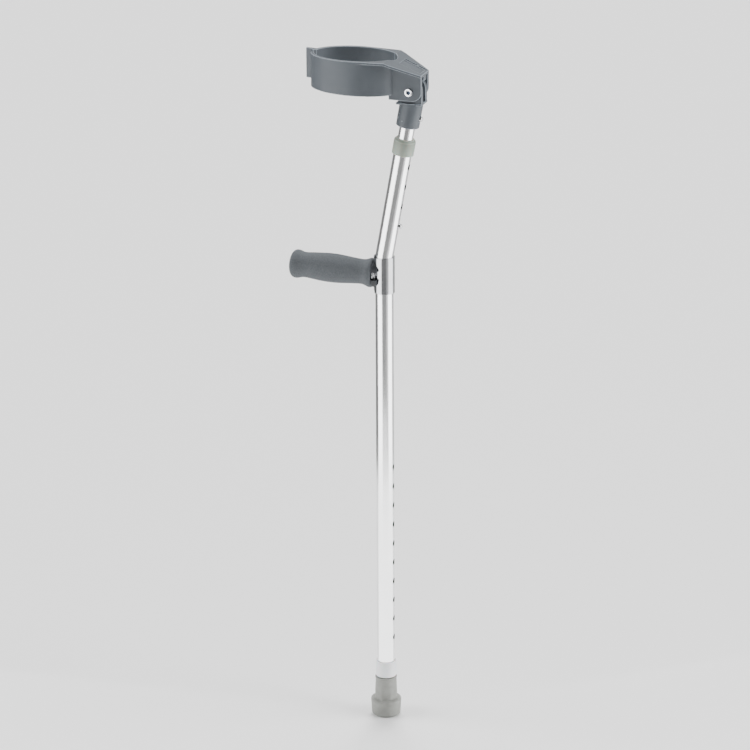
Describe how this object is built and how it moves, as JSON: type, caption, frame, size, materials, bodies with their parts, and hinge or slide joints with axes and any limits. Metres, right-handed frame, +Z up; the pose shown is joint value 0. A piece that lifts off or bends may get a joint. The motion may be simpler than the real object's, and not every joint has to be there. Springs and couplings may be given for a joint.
{
  "type": "forearm crutch",
  "caption": "Forearm crutch: bent aluminium shaft with snap-button height holes, foam grip on a clamp, hinged oval plastic forearm cuff and rubber tip.",
  "frame": {"origin": "centre of the rubber tip's flat base", "axes": "+Z up along the lower shaft, the grip points along -X, the upper shaft leans back towards +X, and XZ is the plane of symmetry"},
  "size_m": [0.1714, 0.074, 0.855],
  "materials": {
    "polished_aluminium": "polished, bright anodised",
    "chromed_steel": "chrome plate, lightly brushed",
    "spring_steel": "plain spring steel",
    "grey_plastic": "moulded, semi-matt",
    "grey_foam": "closed-cell foam with a moulded skin, matt and mottled",
    "grey_rubber": "moulded, matt",
    "smoky_nylon": "natural nylon, slightly translucent",
    "white_nylon": "natural nylon, near white",
    "black_plastic": "moulded, semi-matt"
  },
  "bodies": {
    "shaft": {"main_tube": "polished_aluminium", "lower_collar": "white_nylon", "upper_collar": "smoky_nylon", "handle_clamp": "chromed_steel", "handle_saddle": "black_plastic", "handle_bar": "spring_steel", "hand_grip": "grey_foam", "clamp_bolt": "chromed_steel", "clamp_nut": "chromed_steel"},
    "leg": {"leg_tube": "polished_aluminium", "rubber_tip": "grey_rubber", "tip_washer": "spring_steel", "leg_button_spring": "spring_steel"},
    "leg_button": {"leg_button": "chromed_steel"},
    "cuff_post": {"cuff_tube": "polished_aluminium", "cuff_socket": "grey_plastic", "height_button_spring": "spring_steel", "socket_button_spring": "spring_steel", "pivot_screw": "chromed_steel", "pivot_barrel": "chromed_steel"},
    "height_button": {"height_button": "chromed_steel"},
    "socket_button": {"socket_button": "chromed_steel"},
    "cuff": {"forearm_cuff": "grey_plastic"}
  },
  "joints": [
    {"name": "leg_slide", "type": "slide", "parent": "shaft", "child": "leg", "axis": [0, 0, -1], "range_m": [0, 0.2286]},
    {"name": "leg_button_release", "type": "slide", "parent": "leg", "child": "leg_button", "axis": [1, 0, 0], "range_m": [0, 0.0063], "deforming": ["leg_button_spring"]},
    {"name": "cuff_slide", "type": "slide", "parent": "shaft", "child": "cuff_post", "axis": [0.1771, 0, 0.9842], "range_m": [0, 0.0762], "deforming": ["height_button"]},
    {"name": "height_button_press", "type": "slide", "parent": "cuff_post", "child": "height_button", "axis": [-0.9842, 0, 0.1771], "range_m": [0, 0.0062], "stiffness_N_per_m": 1200, "deforming": ["height_button_spring"]},
    {"name": "socket_button_press", "type": "slide", "parent": "cuff_post", "child": "socket_button", "axis": [-0.9842, 0, 0.1771], "range_m": [0, 0.008], "stiffness_N_per_m": 1200, "deforming": ["socket_button_spring"]},
    {"name": "cuff_hinge", "type": "hinge", "parent": "cuff_post", "child": "cuff", "pos_m": [0.03677, 0, 0.81744], "axis": [0, 1, 0], "range_deg": [-8, 24]}
  ]
}
